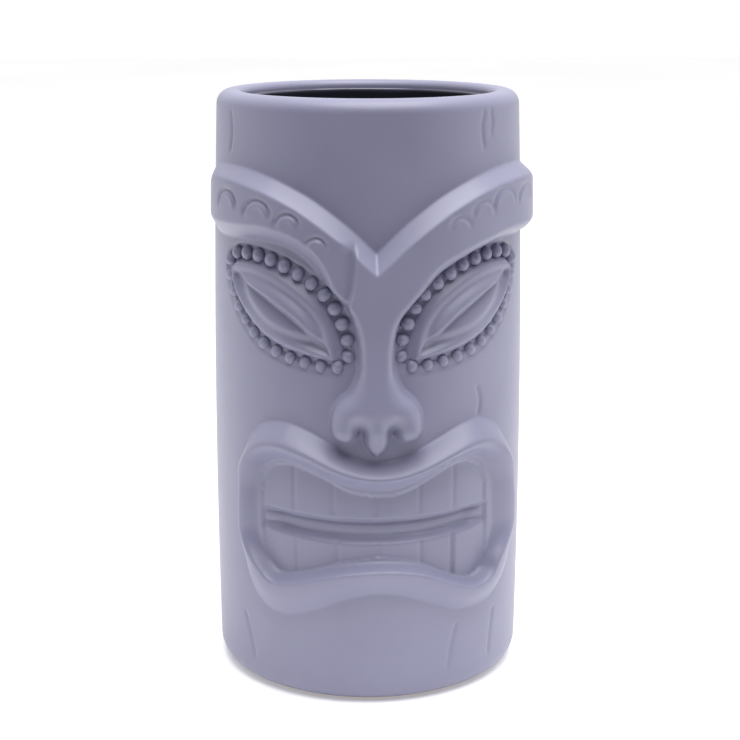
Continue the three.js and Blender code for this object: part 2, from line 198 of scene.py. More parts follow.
# ---- Lines of the face: x runs outwards from the middle ----
BROW_TOP = [(-8, 108.0), (0, 115.6), (5.6, 120.9), (10.8, 125.0), (16.2, 128.5), (21.9, 131.1),
            (28, 133.1), (36, 134.6), (46, 135.0), (56, 133.9), (62.6, 131.5)]
BROW_FOOT_RIGHT = [(62.6, 120.5), (55, 118.4), (47.7, 117.4), (36.8, 117.4), (28.4, 115.9),
                   (21.8, 113.7), (16.0, 110.8), (12.0, 107.2), (8.7, 103.7), (5.9, 100.1)]
BROW_FOOT_LEFT = [(62.6, 120.5), (55, 118.2), (47.2, 117.2), (34.7, 117.6), (27.7, 117.7),
                  (21.7, 116.5), (17.6, 114.3), (14.3, 111.2), (11.5, 107.7), (8.5, 104.6),
                  (6.6, 102.4), (5.6, 99.6)]
BRIDGE_SIDE = [(4.6, 96.0), (4.1, 91.1), (4.4, 86.8), (6.2, 82.9), (8.6, 80.7), (10.5, 77.8),
               (11.1, 74.4), (10.4, 71.4), (8.1, 69.9), (5.8, 69.9), (4.2, 71.6), (3.4, 72.4),
               (2.2, 68.2), (0.5, 66.2)]
PAST_MIDDLE = [(-20.0, 66.2), (-20.0, 97.0)]
SCALLOPS_LEFT = [(-13.6, 117.5, 2.1), (-20.5, 122.2, 2.7), (-28.8, 124.0, 3.6), (-39.6, 125.4, 3.6)]
SCALLOPS_RIGHT = [(19.4, 121.6, 2.3), (26, 124.2, 3.0), (33.2, 125.9, 3.8), (43.2, 125.6, 4.0)]
NOTCH = [(-7.0, 101.0), (-6.3, 104.0), (-5.6, 107.0), (-5.0, 113.6), (-5.2, 120.0)]
BEAD_PATH = [(6.0, 90.6), (6.5, 95.2), (8.4, 100.4), (11.7, 105.4), (16.6, 109.0), (22.5, 111.9),
             (28.5, 113.5), (34.0, 113.9), (39.0, 113.5), (42.3, 111.9), (43.2, 108.8),
             (42.0, 104.6), (39.1, 100.2), (34.7, 95.9), (29.4, 92.2), (23.3, 90.0), (17.0, 88.6),
             (10.6, 87.9), (7.2, 88.5)]
LID_TOP = [(9.2, 89.9), (9.6, 94.4), (11.2, 99.2), (14.4, 103.4), (18.6, 106.6), (23.6, 109.2),
           (29, 110.9), (34.0, 111.5), (38.6, 111.2), (40.9, 109.2)]
LID_LOW = [(10.2, 89.6), (16.2, 91.0), (22.5, 92.5), (28.4, 94.9), (33.4, 98.4), (37.6, 102.4),
           (40.2, 106.2)]
LID_SLIT = [(11.2, 91.4), (13.8, 94.2), (18.2, 97.9), (24, 101.6), (30, 104.8), (35.4, 107.0),
            (38.8, 108.2)]
SLIT_INNER_END = (4, 87.0)
SLIT_OUTER_END = (48, 110.0)
UPPER_LIP_OUT = [(-38.5, 50), (-37.6, 60), (-35.0, 66.8), (-31.5, 70.8), (-27.5, 72.7),
                 (-21.9, 73.0), (-16.4, 71.3), (-11.3, 68.7), (-6.4, 65.9), (-1.6, 64.3),
                 (2.1, 64.2), (5.8, 65.0), (10.8, 67.1), (16.1, 69.6), (22.0, 72.1), (27.9, 72.9),
                 (33.5, 70.7), (38.5, 65.6), (42.2, 58.5), (43.8, 50)]
LOWER_LIP_OUT = [(43.8, 50), (44.0, 41), (42.4, 33), (38.8, 27.4), (34.6, 24.4), (29.9, 23.0),
                 (22.8, 23.2), (16.7, 25.1), (11.1, 27.6), (5.9, 29.4), (0.9, 30.0), (-4.0, 29.5),
                 (-9.0, 27.9), (-14.2, 25.5), (-19.6, 23.4), (-25.6, 22.5), (-31.0, 24.2),
                 (-35.2, 28.8), (-37.6, 35.5), (-38.6, 43), (-38.5, 50)]
UPPER_LIP_IN = [(-31, 50), (-30.6, 56), (-28.9, 59.8), (-26.4, 61.6), (-22, 62.3), (-16.5, 61.1),
                (-11.4, 59), (-6.4, 56.7), (0.9, 55.5), (5.8, 56.1), (10.9, 58), (16.2, 60.6),
                (22.1, 62.4), (26, 61.8), (29, 59.6), (30.8, 55.5), (31.2, 50)]
LOWER_LIP_IN = [(31.2, 50), (31.5, 42.4), (31.0, 36.9), (29.3, 33), (25.9, 31.2), (22, 31.9),
                (16.5, 34.5), (11, 37.4), (5.9, 39), (0.9, 39.5), (-4, 39), (-9, 38), (-14.1, 36.2),
                (-19.5, 34.4), (-24.7, 33.6), (-27.8, 35.4), (-29.8, 38.6), (-30.7, 43), (-31, 50)]

# ---- Wood-grain grooves all round the wall, as u and z ----
GRAIN = [
    [(30.5, 148), (29.6, 144.5), (30.2, 140)], [(33.2, 148), (33.8, 145.5), (33.1, 143)],
    [(-44, 147.5), (-43.2, 143), (-44, 138.5)], [(27.6, 80.5), (28.6, 77), (28, 74)],
    [(-38.2, 19), (-36, 13), (-34.6, 8)], [(21.6, 19), (20.2, 14), (19.3, 8)],
    [(35.3, 19.5), (34.5, 14.5), (33.9, 8)], [(72, 138), (73.4, 118), (72.4, 98)],
    [(-70, 92), (-71.5, 72), (-70.2, 55)], [(96, 86), (94.6, 62), (96.2, 40)],
    [(-92, 140), (-90.8, 124), (-92.4, 108)], [(118, 128), (119.4, 104), (118, 82)],
    [(-114, 66), (-112.6, 42), (-114, 22)],
]
GRAIN_HALF_WIDTH = 0.55
GRAIN_DEPTH = 0.42
GRAIN_REACH_U = 6
GRAIN_REACH_Z = 3

# ---- Colours ----
GLAZE_DARK = (0.240, 0.237, 0.350)
GLAZE_LIGHT = (0.262, 0.259, 0.378)
# The inside's colours: nearly black over all of it up to just below the lining's top, then the outside
# glaze's colour at the lip.
LINING_STOPS = ((0.0, (0.026, 0.027, 0.040)), (0.45, (0.07, 0.071, 0.105)), (1.0, (0.25, 0.248, 0.365)))
LINING_CHANGE_BELOW = 0.6
LINING_CHANGE_ABOVE = 1.4
LINING_WANDER = 0.0012  # metres
CLAY_DARK = (0.52, 0.41, 0.35)
CLAY_LIGHT = (0.66, 0.55, 0.48)
CLAY_BELOW = 0.3
CLAY_FACING = -0.5

# ---- Light and camera: metres, watts and radians, and millimetres for the sensor and the lens ----
TENT_FRONT = 0.01
TENT_BACK = 0.88
TENT_TOP = 0.4
TARGET = (0, 0, 0.08)
RIGHT_PLACE = (0.75, -0.05, 0.25)
RIGHT_SIZE = (0.6, 0.8)
RIGHT_POWER = 0.4
TOP_PLACE = (0.08, -0.2, 0.95)
TOP_SIZE = (0.8, 0.8)
TOP_POWER = 10.0
TABLE_FRONT = 0.22
TABLE_REACH = 3.0
TABLE_GLOW = 0.22
SENSOR_WIDTH = 36.0
FOCAL_LENGTH = 80.75676
CAMERA_SHIFT = 0.003
CAMERA_AWAY = 0.430
CAMERA_HEIGHT = 0.1823
CAMERA_TURN = math.radians(3.0)
CAMERA_DIP = 0.2385


# ---- Drawing tools: curves, distances and soft joins ----

def curve(points, closed=False, steps=8):
    """A smooth line through the points, as many short straight steps."""
    p = np.array(points, float)
    if closed:
        p = np.vstack([p[-1], p, p[0], p[1]])
    else:
        p = np.vstack([2 * p[0] - p[1], p, 2 * p[-1] - p[-2]])
    t = np.linspace(0, 1, steps, endpoint=False)[:, None]
    out = []
    for a, b, c, d in zip(p[:-3], p[1:-2], p[2:-1], p[3:]):
        out.append(0.5 * (2 * b + (c - a) * t + (2 * a - 5 * b + 4 * c - d) * t ** 2
                          + (3 * b - a - 3 * c + d) * t ** 3))
    if not closed:
        out.append(p[-2:-1])
    return np.vstack(out)


def distance(u, z, line):
    """How far each place is from a line."""
    best = np.full(u.shape, 1e9)
    for (ua, za), (ub, zb) in zip(line[:-1], line[1:]):
        du = ub - ua
        dz = zb - za
        t = np.clip(((u - ua) * du + (z - za) * dz) / max(du * du + dz * dz, 1e-12), 0, 1)
        best = np.minimum(best, (u - ua - t * du) ** 2 + (z - za - t * dz) ** 2)
    return np.sqrt(best)


def inside(u, z, loop):
    """Whether each place lies inside a closed line."""
    hit = np.zeros(u.shape, bool)
    ring = np.vstack([loop, loop[:1]])
    for (ua, za), (ub, zb) in zip(ring[:-1], ring[1:]):
        if za == zb:
            continue
        crosses = (za > z) != (zb > z)
        hit ^= crosses & (u < (ub - ua) * (z - za) / (zb - za) + ua)
    return hit


def depth_in(u, z, loop):
    """The distance to a closed line, positive inside it."""
    d = distance(u, z, np.vstack([loop, loop[:1]]))
    return np.where(inside(u, z, loop), d, -d)


def ramp(x, start, end):
    """A soft step from 0 at start to 1 at end."""
    t = np.clip((x - start) / (end - start), 0, 1)
    return t * t * (3 - 2 * t)


def gouge(across, place, depth, half_width):
    """The depth of a rounded groove whose middle is at a place."""
    return depth * np.exp(-((across - place) / half_width) ** 2)


def round_over(x, width):
    """A quarter-round rise from an edge."""
    t = np.clip(x / width, 0, 1)
    return np.sqrt(1 - (1 - t) ** 2)


def blend_max(a, b, soft):
    """The higher of two surfaces, with a fillet where they meet."""
    t = np.clip(0.5 + 0.5 * (a - b) / soft, 0, 1)
    return b + (a - b) * t + soft * t * (1 - t)


def blend_min(a, b, soft):
    """The lower of two surfaces, with their crest rounded off."""
    return -blend_max(-a, -b, soft)


def level_at(u, line):
    """The height of a left-to-right line at each u."""
    order = np.argsort(line[:, 0])
    return np.interp(u, line[order, 0], line[order, 1])


# ---- The relief ----

def mass_lines(side):
    """The top line of one side's brow, and its foot down to the nose's tip, from the outer end."""
    foot = BROW_FOOT_RIGHT if side > 0 else BROW_FOOT_LEFT
    return curve(BROW_TOP), curve(foot + BRIDGE_SIDE)


def mass_field(u, z, side):
    """One side of the brow, the bridge and the nose, which are carved as a single mass."""
    x = u * side
    top, foot = mass_lines(side)
    inner = inside(x, z, np.vstack([foot, PAST_MIDDLE, top]))
    from_foot = np.where(inner, distance(x, z, foot), 0)
    below_top = np.maximum(distance(x, z, top) * np.sign(level_at(x, top) - z), 0)
    crown = np.interp(z, CROWN_AT, CROWN)
    crown = crown - np.where(z < NOSE_START, NOSE_ARCH * (x / NOSE_ARCH_HALF) ** 2, 0)
    crown = crown - gouge(x, *WING_LINE) * (1 - ramp(z, *WING_LINE_FADE))
    turn, end = BROW_ENDS[side]
    crown = crown * np.sqrt(1 - np.clip((x - turn) / (end - turn), 0, 1) ** 2)
    flank = np.interp(z, FLANK_AT, FLANK)
    if side < 0:
        flank = flank + ramp(x, *LEFT_FLANK_WIDENS)
        flank = flank - (1 - ramp(x, *LEFT_CORNER_X)) * ramp(z, *LEFT_CORNER_Z)
    straight = np.clip(from_foot / flank, 0, 1)
    rounded = round_over(from_foot, flank)
    share = ramp(x, *BROW_STRAIGHT_FROM) * BROW_STRAIGHT[side]
    rise = straight * share + rounded * (1 - share)
    bevel = crown * below_top / np.interp(x, BEVEL_AT, BEVEL)
    height = blend_min(bevel, crown * rise, CREST_SOFT + CREST_SOFTER * ramp(x, *CREST_SOFTENS))
    return np.where(inner, np.maximum(height, 0), 0)


def scallop_cut(u, z, scallops):
    """Thin arched grooves across a brow's face, sharper on their upper side."""
    cut = np.zeros(u.shape)
    for cu, cz, radius in scallops:
        across = np.hypot(u - cu, z - cz) - radius
        fade = ramp(z, cz + SCALLOP_FADE[0], cz + SCALLOP_FADE[1])
        cut = cut + (gouge(across, *SCALLOP_GROOVE) - gouge(across, *SCALLOP_RIM)) * fade
    return cut


def notch_cut(u, z):
    """The step in the left brow beside the middle: a cliff on its right, a slope to its left."""
    line = curve(NOTCH)
    left_of = np.interp(z, line[:, 1], line[:, 0]) - u
    wedge = ramp(left_of, *NOTCH_CLIFF) * np.clip(1 - left_of / NOTCH_WIDTH, 0, 1)
    return wedge * (1 - ramp(z, *NOTCH_HIGH_END)) * ramp(z, *NOTCH_LOW_END)


def eye_fields(u, z, side):
    """The channel for the beads, the lids it surrounds, and how far inside the lids each place is."""
    x = (u - EYE_SHIFT[side]) * side
    from_path = depth_in(x, z, curve(BEAD_PATH, closed=True))
    slope = EYE_SLOPE * (x - CHANNEL_LOW_START)
    low_side = (from_path < 0) * (1 - ramp(z, CHANNEL_LOW[0] + slope, CHANNEL_LOW[1] + slope))
    depth = CHANNEL_DEPTH * (1 - CHANNEL_LOW_LOSS * low_side)
    channel = depth * (1 - ramp(np.abs(from_path), *CHANNEL_EDGE))
    edge = depth_in(x, z, np.vstack([curve(LID_TOP), curve(LID_LOW)[::-1]]))
    slit_line = curve(LID_SLIT)
    slit_level = level_at(x, slit_line)
    reach = np.where(z > slit_level, SLIT_ABOVE, SLIT_BELOW)
    plate = LID_HEIGHT * ramp(edge, *LID_EDGE)
    groove = gouge(edge, *LID_GROOVE) * ramp(z - slit_level, *LID_GROOVE_FADE)
    lens = LENS_HEIGHT * ramp(edge, *LENS_EDGE)
    closeness = np.clip(1 - distance(x, z, slit_line) / reach, 0, 1)
    cut = SLIT_DEPTH * closeness ** SLIT_CURVE * ramp(edge, *SLIT_FADE)
    return channel, plate - groove + lens - cut, edge


def lip_loops():
    """The closed lines round the outside and the inside of the lips."""
    outer = np.vstack([curve(UPPER_LIP_OUT), curve(LOWER_LIP_OUT)])
    inner = np.vstack([curve(UPPER_LIP_IN), curve(LOWER_LIP_IN)])
    return outer, inner


def lip_field(u, z):
    """The lips: across them t runs from 0 at the outer edge to 1 at the inner one."""
    outer, inner = lip_loops()
    from_out = depth_in(u, z, outer)
    from_in = -depth_in(u, z, inner)
    near_out = np.clip(from_out, 0, None)
    t = near_out / np.maximum(near_out + np.clip(from_in, 0, None), 1e-6)
    upper = ramp(z, *UPPER_LIP_FROM)
    lower = 1 - ramp(z, *LOWER_LIP_FROM)
    crest = LIP_CREST + UPPER_CREST_MORE * upper + LOWER_CREST_MORE * lower
    top = (LIP_HEIGHT_SIDE + (LIP_HEIGHT - LIP_HEIGHT_SIDE) * upper
           + (LOWER_LIP_HEIGHT - LIP_HEIGHT_SIDE) * lower)
    climb = np.clip(t / crest, 0, 1)
    rise = np.sin(climb * math.pi / 2) * (1 - upper) + (1 - (1 - climb) ** UPPER_LIP_CURVE) * upper
    drop = np.clip((t - crest) / (1 - crest), 0, 1)
    fall = (1 - ramp(drop, 0, LIP_FALL)) * (1 - lower) + (1 - drop) * lower
    end = TOOTH_FACE - LIP_INSIDE_DROP
    height = np.where(t < crest, top * rise, end + (top - end) * fall)
    return np.where(from_out > 0, height, 0), from_out, from_in


def bite_lines(u):
    """The biting edges of the upper and the lower row, which curl up towards the corners."""
    curl = (u / MOUTH_HALF) ** 2
    return UPPER_BITE + UPPER_BITE_CURL * curl, LOWER_BITE + LOWER_BITE_CURL * curl


def row_span(u, grooves, side):
    """From 0 beyond the ends of a row of teeth to 1 within it."""
    left = ramp(u, grooves[0] - TOOTH_OUTSIDE, grooves[0] + side)
    return left * (1 - ramp(u, grooves[-1] - side, grooves[-1] + TOOTH_OUTSIDE))


def teeth_field(u, z):
    """Both rows of teeth in their pocket."""
    upper_bite, lower_bite = bite_lines(u)
    corner = ramp(np.abs(u), *MOUTH_CORNER)
    height = MOUTH_FLOOR + MOUTH_CORNER_RISE * (TOOTH_FACE - MOUTH_FLOOR) * corner
    upper_row = ramp(z - upper_bite, 0.0, UPPER_EDGE) * row_span(u, UPPER_GROOVES, UPPER_SIDE)
    lower_row = np.clip((lower_bite - z) / LOWER_EDGE, 0, 1) * row_span(u, LOWER_GROOVES, LOWER_SIDE)
    height = height + (TOOTH_FACE - height) * np.maximum(upper_row, lower_row)
    ends = 1 - ramp(np.abs(u), *BITE_LINE_ENDS)
    for bite, inset in ((upper_bite, -BITE_LINE_INSET), (lower_bite, BITE_LINE_INSET)):
        height -= gouge(z - bite, inset, BITE_LINE_DEPTH, TOOTH_LINE_HALF) * ends
    upper_reach = ramp(z, *UPPER_LINES_FROM)
    for groove, depth in zip(UPPER_GROOVES[1:-1], UPPER_LINE_DEPTHS):
        height -= gouge(u, groove, depth, TOOTH_LINE_HALF) * upper_reach * (z > ROWS_PART)
    lower_reach = 1 - ramp(z, *LOWER_LINES_FROM)
    for groove, depth in zip(LOWER_GROOVES[1:-1], LOWER_LINE_DEPTHS):
        height -= gouge(u, groove, depth, TOOTH_LINE_HALF) * lower_reach * (z < ROWS_PART)
    return height


def grain_cut(u, z):
    """The depth of the wood-grain grooves."""
    cut = np.zeros(u.shape)
    for groove in GRAIN:
        line = curve(groove)
        near = np.abs(u - line[:, 0].mean()) < GRAIN_REACH_U
        near &= (z > line[:, 1].min() - GRAIN_REACH_Z) & (z < line[:, 1].max() + GRAIN_REACH_Z)
        away = distance(u[near], z[near], line)
        cut[near] = np.maximum(cut[near], gouge(away, 0, GRAIN_DEPTH, GRAIN_HALF_WIDTH))
    return cut


def face_relief(u, z):
    """The whole relief's height, and what is needed to say which feature each place belongs to."""
    mass = np.where(u < 0, mass_field(u, z, -1), mass_field(u, z, 1))
    carved = mass > 0
    mass = mass - scallop_cut(u, z, SCALLOPS_LEFT) * (u < 0) * ramp(mass, *SCALLOP_FACE)
    right_cut = RIGHT_SCALLOP_SHARE * scallop_cut(u, z, SCALLOPS_RIGHT)
    mass = mass - right_cut * (u > 0) * ramp(mass, *SCALLOP_FACE)
    nostril_u = (np.abs(u) - NOSTRIL[0]) / NOSTRIL_SIZE[0]
    nostril_z = (z - NOSTRIL[1]) / NOSTRIL_SIZE[1]
    mass = mass - NOSTRIL_DEPTH * np.exp(-nostril_u ** 2 - nostril_z ** 2) * ramp(mass, *NOSTRIL_FADE)
    mass = mass - NOTCH_DEPTH * notch_cut(u, z) * ramp(mass, *NOTCH_FADE)
    height = mass - grain_cut(u, z)
    lids = {}
    for name, side in (("left", -1), ("right", 1)):
        channel, lid, edge = eye_fields(u, z, side)
        lids[name] = edge
        height = height - channel * (1 - ramp(mass, *CHANNEL_UNDER_BROW))
        height = np.where(edge > -LID_MARGIN, np.maximum(height, lid - channel), height)
    lips, from_out, from_in = lip_field(u, z)
    height = np.where(from_out > 0, np.maximum(lips, height), height)
    height = np.where(from_in < 0, teeth_field(u, z), height)
    return height, carved, lids, from_out, from_in


# ---- From the relief to closed pieces ----

def wall_radius(z):
    """The plain wall's radius at a height: a slight taper with a slight belly."""
    q = z / HEIGHT
    return FOOT_RADIUS * (1 - q) + RIM_RADIUS * q + BELLY * 4 * q * (1 - q)


def on_wall(u, z, h):
    """The place in space of a place on the unrolled wall, in metres."""
    angle = u / DRAWING_RADIUS
    radius = (wall_radius(z) + h) * MM
    return np.stack([radius * np.sin(angle), -radius * np.cos(angle), z * MM + 0 * angle], axis=-1)


def smoothed(field, cells):
    """The field softened by a small round brush."""
    reach = int(math.ceil(3 * cells))
    weights = np.exp(-0.5 * (np.arange(-reach, reach + 1) / cells) ** 2)
    weights /= weights.sum()
    for axis in (0, 1):
        padded = np.pad(field, [(reach, reach) if a == axis else (0, 0) for a in (0, 1)], mode="edge")
        total = np.zeros_like(field)
        for k, weight in enumerate(weights):
            part = [slice(None), slice(None)]
            part[axis] = slice(k, k + field.shape[axis])
            total += weight * padded[tuple(part)]
        field = total
    return field


def stops(start, end, step):
    """Evenly spaced places from start to end, about a step apart."""
    return np.linspace(start, end, max(2, int(round((end - start) / step)) + 1))


def columns():
    """Where the grid's upright lines stand round the wall: close on the face and at each back groove."""
    full = DRAWING_RADIUS * math.pi
    marks = [stops(-FACE_HALF, FACE_HALF, CELL)]
    bands = []
    for groove in GRAIN:
        centre = sum(p[0] for p in groove) / len(groove)
        if abs(centre) > FACE_HALF:
            bands.append((centre - GROOVE_BAND, centre + GROOVE_BAND))
    for sign in (-1, 1):
        at = FACE_HALF
        for low, high in sorted(sorted((abs(a), abs(b))) for a, b in bands if a * sign > 0):
            marks.append(sign * stops(at, low, BACK_CELL)[1:])
            marks.append(sign * stops(low, high, CELL)[1:])
            at = high
        marks.append(sign * stops(at, full, BACK_CELL)[1:])
    line = np.unique(np.round(np.concatenate(marks), 5))
    return line[:-1]


def rows():
    """The heights of the grid's level lines up the wall."""
    foot = stops(FOOT_ROUND, FACE_LOW, PLAIN_CELL)
    face = stops(FACE_LOW, FACE_HIGH, CELL)
    top = stops(FACE_HIGH, HEIGHT - SHOULDER_ROUND, PLAIN_CELL)
    return np.concatenate([foot[:-1], face, top[1:]])


class Relief:
    """The relief on its grid: places, heights, surface normals, and the feature of every cell."""

    def __init__(self):
        self.u = columns()
        self.z = rows()
        wrapped = np.concatenate([self.u, [self.u[0] + 2 * math.pi * DRAWING_RADIUS]])
        self.U, self.Z = np.meshgrid(self.u, self.z)
        height = face_relief(self.U, self.Z)[0]
        front = np.abs(self.u) <= FACE_HALF + 1e-6
        height[:, front] = smoothed(height[:, front], BRUSH)
        self.height = height
        self.places = on_wall(self.U, self.Z, height)
        across = np.roll(self.places, -1, 1) - np.roll(self.places, 1, 1)
        up = np.gradient(self.places, axis=0)
        normals = np.cross(across, up)
        self.normals = normals / np.linalg.norm(normals, axis=-1, keepdims=True)
        middle_u = (wrapped[:-1] + wrapped[1:]) / 2
        middle_z = (self.z[:-1] + self.z[1:]) / 2
        self.labels = label_cells(*np.meshgrid(middle_u, middle_z))
        self.backs = on_wall(self.U, self.Z, np.minimum(height, 0) - BACKING)


def label_cells(u, z):
    """Which piece each cell of the grid belongs to; an empty name is the plain wall."""
    _, carved, lids, from_out, from_in = face_relief(u, z)
    labels = np.full(u.shape, "", dtype="<U24")
    labels[carved & (u < 0) & (z > BROW_END)] = "left_brow"
    labels[carved & (u >= 0) & (z > BROW_END)] = "right_brow"
    labels[carved & (z <= BROW_END) & (z > BRIDGE_END)] = "nose_bridge"
    labels[carved & (z <= BRIDGE_END)] = "nose"
    for name, side in (("left", -1), ("right", 1)):
        x = (u - EYE_SHIFT[side]) * side
        slit = level_at(x, np.vstack([[SLIT_INNER_END], curve(LID_SLIT), [SLIT_OUTER_END]]))
        inner = (lids[name] > -LID_MARGIN) & (labels == "")
        labels[inner & (z >= slit)] = name + "_upper_lid"
        labels[inner & (z < slit)] = name + "_lower_lid"
    lips = (from_out > 0) & (from_in > 0)
    labels[lips & (z >= MOUTH_MIDDLE)] = "upper_lip"
    labels[lips & (z < MOUTH_MIDDLE)] = "lower_lip"
    upper_bite, lower_bite = bite_lines(u)
    pocket = from_in <= 0
    rows_of_teeth = (("upper", UPPER_GROOVES, z > upper_bite), ("lower", LOWER_GROOVES, z < lower_bite))
    for row, grooves, chosen in rows_of_teeth:
        for i, (left, right) in enumerate(zip(grooves[:-1], grooves[1:])):
            labels[pocket & chosen & (u > left) & (u <= right)] = f"{row}_tooth_{i + 1}"
    return labels


def mesh_from(name, places, faces, normals):
    """A smooth mesh object; each face corner has its given normal, and a zero one is left to the faces."""
    mesh = bpy.data.meshes.new(name)
    mesh.from_pydata(places.tolist(), [], faces)
    mesh.validate()
    mesh.polygons.foreach_set("use_smooth", [True] * len(mesh.polygons))
    mesh.normals_split_custom_set(normals)
    mesh.update()
    piece = bpy.data.objects.new(name, mesh)
    bpy.context.scene.collection.objects.link(piece)
    return piece


def edge_walls(mask, top_of, back_of):
    """The upright walls along the border of a set of cells, from the top surface to the back."""
    n_rows, n_columns = mask.shape
    faces = []
    for j, i in zip(*np.nonzero(mask)):
        right = (i + 1) % n_columns
        left = (i - 1) % n_columns
        if j == 0 or not mask[j - 1, i]:
            faces.append((top_of[j, i], back_of[j, i], back_of[j, right], top_of[j, right]))
        if j == n_rows - 1 or not mask[j + 1, i]:
            faces.append((top_of[j + 1, right], back_of[j + 1, right],
                          back_of[j + 1, i], top_of[j + 1, i]))
        if not mask[j, left]:
            faces.append((top_of[j + 1, i], back_of[j + 1, i], back_of[j, i], top_of[j, i]))
        if not mask[j, right]:
            faces.append((top_of[j, right], back_of[j, right],
                          back_of[j + 1, right], top_of[j + 1, right]))
    return faces


def grid_faces(mask, index, flip=False):
    """The four-sided faces over a set of cells, facing outwards unless flipped."""
    n_columns = mask.shape[1]
    faces = []
    for j, i in zip(*np.nonzero(mask)):
        right = (i + 1) % n_columns
        face = (index[j, i], index[j, right], index[j + 1, right], index[j + 1, i])
        faces.append(face[::-1] if flip else face)
    return faces


def corner_mask(mask):
    """The grid points used by a set of cells."""
    used = np.zeros((mask.shape[0] + 1, mask.shape[1]), bool)
    for dj in (0, 1):
        for di in (0, 1):
            used[dj:dj + mask.shape[0]] |= np.roll(mask, di, axis=1)
    return used


def cut_piece(relief, name, node):
    """One feature of the relief as a closed piece."""
    mask = relief.labels == node
    used = corner_mask(mask)
    count = int(used.sum())
    top_of = np.full(used.shape, -1)
    top_of[used] = np.arange(count)
    back_of = np.where(used, top_of + count, -1)
    places = np.vstack([relief.places[used], relief.backs[used]])
    top = grid_faces(mask, top_of)
    rest = grid_faces(mask, back_of, flip=True) + edge_walls(mask, top_of, back_of)
    given = relief.normals[used]
    loops = [given[v] for face in top for v in face]
    loops += [(0.0, 0.0, 0.0)] * (4 * len(rest))
    return mesh_from(name, places, top + rest, loops)


def foot_profile():
    """The radius and height of each ring from the base's edge to the wall."""
    rings = []
    centre = wall_radius(FOOT_ROUND) - FOOT_ROUND
    for angle in np.linspace(-90, 0, ROUND_STEPS)[:-1]:
        a = math.radians(angle)
        rings.append((centre + FOOT_ROUND * math.cos(a), FOOT_ROUND + FOOT_ROUND * math.sin(a)))
    return rings


def rim_profile():
    """The radius and height of each ring from the wall's top over the rim and down to the floor."""
    rings = []
    shoulder = HEIGHT - SHOULDER_ROUND
    centre = wall_radius(shoulder) - SHOULDER_ROUND
    for angle in np.linspace(0, 90, ROUND_STEPS)[1:]:
        a = math.radians(angle)
        rings.append((centre + SHOULDER_ROUND * math.cos(a), shoulder + SHOULDER_ROUND * math.sin(a)))
    inner = RIM_RADIUS - LIP_THICKNESS + LIP_ROUND
    for angle in np.linspace(90, 180, LIP_STEPS):
        a = math.radians(angle)
        rings.append((inner + LIP_ROUND * math.cos(a), HEIGHT - LIP_ROUND + LIP_ROUND * math.sin(a)))
    for z in (LIP_END, WALL_MIDDLE, FLOOR + INNER_CORNER):
        rings.append((wall_radius(z) - WALL, z))
    rings.append((wall_radius(FLOOR) - WALL - INNER_CORNER, FLOOR))
    return rings


def cup_piece(relief):
    """The cup: base, foot, the wall with a seat sunk under every feature, rim, inside and floor."""
    angles = relief.u / DRAWING_RADIUS
    n_columns = len(relief.u)
    wall_mask = relief.labels == ""
    used = corner_mask(~wall_mask)
    seats = on_wall(relief.U, relief.Z, np.minimum(relief.height, 0) - BACKING - SEAT_GAP)

    def ring(radius, z):
        across = radius * MM
        return np.stack([across * np.sin(angles), -across * np.cos(angles), z * MM + 0 * angles], -1)

    foot = [ring(r, z) for r, z in foot_profile()]
    rim = [ring(r, z) for r, z in rim_profile()]
    wall = [relief.places[j] for j in range(len(relief.z))]
    places = np.concatenate(foot + wall + rim)
    ring_index = np.arange(len(places)).reshape(-1, n_columns)
    first = len(foot)
    last = first + len(wall)
    top_of = ring_index[first:last]
    seat_of = np.full(used.shape, -1)
    seat_of[used] = len(places) + np.arange(int(used.sum()))
    places = np.vstack([places, seats[used]])
    base = len(places)
    places = np.vstack([places, [[0, 0, 0], [0, 0, FLOOR * MM]]])
    lower = np.ones((first, n_columns), bool)
    upper = np.ones((len(rim), n_columns), bool)
    smooth = grid_faces(wall_mask, top_of)
    given = relief.normals.reshape(-1, 3)
    loops = [given[v - first * n_columns] for face in smooth for v in face]
    rest = grid_faces(lower, ring_index[:first + 1])
    rest += grid_faces(upper, ring_index[last - 1:])
    rest += grid_faces(~wall_mask, seat_of)
    rest += [face[::-1] for face in edge_walls(~wall_mask, top_of, seat_of)]
    fans = []
    for i in range(n_columns):
        right = (i + 1) % n_columns
        fans.append((base, ring_index[0, right], ring_index[0, i]))
        fans.append((base + 1, ring_index[-1, i], ring_index[-1, right]))
    loops += [(0.0, 0.0, 0.0)] * (4 * len(rest) + 3 * len(fans))
    return mesh_from("cup_wall", places, smooth + rest + fans, loops)


# ---- Pieces grown by node trees ----

